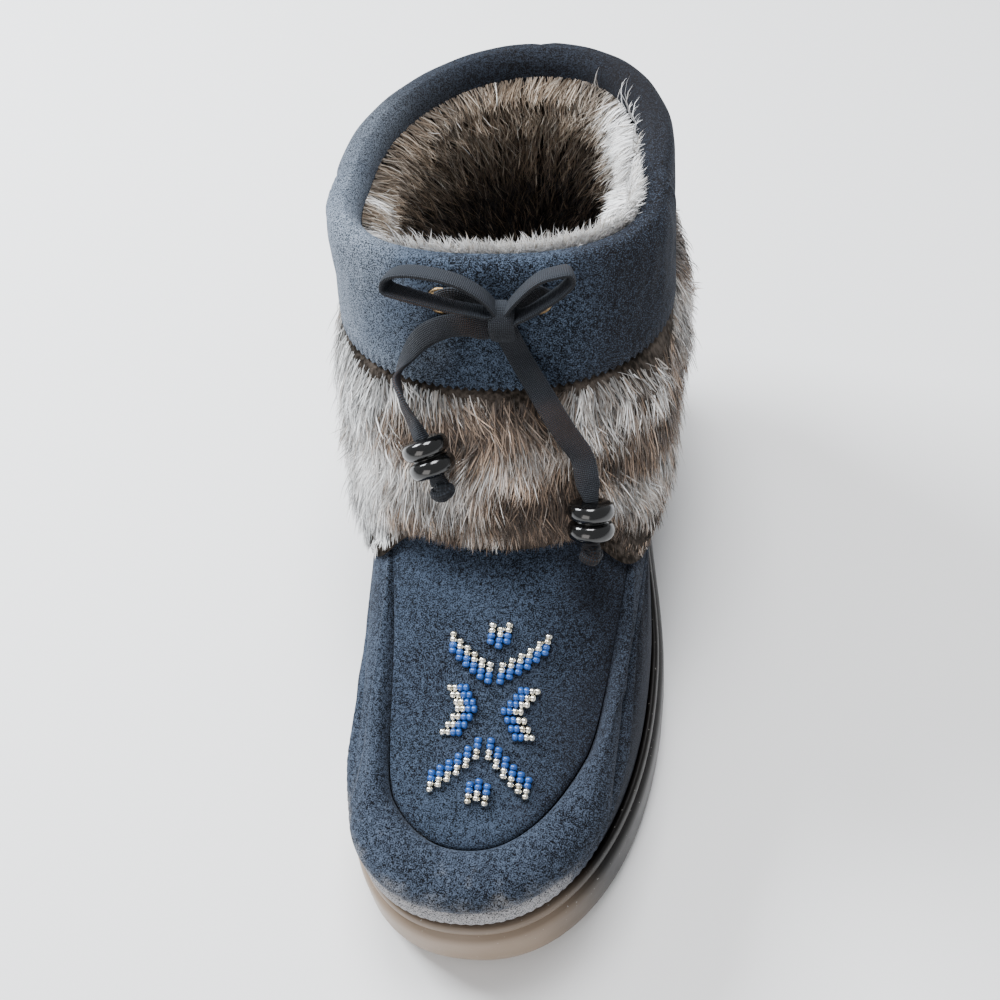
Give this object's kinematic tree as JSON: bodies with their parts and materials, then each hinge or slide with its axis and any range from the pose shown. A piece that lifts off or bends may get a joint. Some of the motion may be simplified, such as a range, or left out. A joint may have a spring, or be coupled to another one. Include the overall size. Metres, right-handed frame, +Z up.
{
  "type": "ankle mukluk boot",
  "caption": "Left ankle mukluk: suede moccasin upper with rolled seam and beaded apron, fur cuff, padded collar with a drawstring bow, and a rubber cup sole.",
  "frame": {"origin": "on the floor under the middle of the whole boot, fur cuff included", "axes": "+Z up, -Y towards the toe, +Y towards the heel, +X towards the outer side of the left foot"},
  "size_m": [0.1229, 0.2808, 0.1744],
  "materials": {
    "outsole": "glossy moulded rubber",
    "insole": "short pile",
    "upper": "suede with a raised nap",
    "roll_band": "suede with a raised nap",
    "apron": "suede with a raised nap",
    "fur_cuff": "long soft fur",
    "collar": "suede with a raised nap",
    "eyelet": "aged, satin",
    "lace": "flat woven lace",
    "bead": "polished",
    "beadwork": "glossy seed beads"
  },
  "bodies": {
    "root": {"outsole": "outsole", "insole": "insole", "upper": "upper", "roll_band": "roll_band", "apron": "apron", "fur_cuff": "fur_cuff", "collar": "collar", "eyelet_inner": "eyelet", "eyelet_outer": "eyelet", "lace_knot": "lace", "lace_run_inner": "lace", "lace_run_outer": "lace", "lace_loop_inner": "lace", "lace_loop_outer": "lace", "lace_tail_inner": "lace", "lace_tail_outer": "lace", "lace_stop_inner": "lace", "lace_stop_outer": "lace", "bead_inner": "bead", "bead_outer": "bead", "beadwork_crown_back": "beadwork", "beadwork_chevron_back": "beadwork", "beadwork_chevron_inner": "beadwork", "beadwork_chevron_outer": "beadwork", "beadwork_chevron_front": "beadwork", "beadwork_crown_front": "beadwork"}
  },
  "joints": []
}
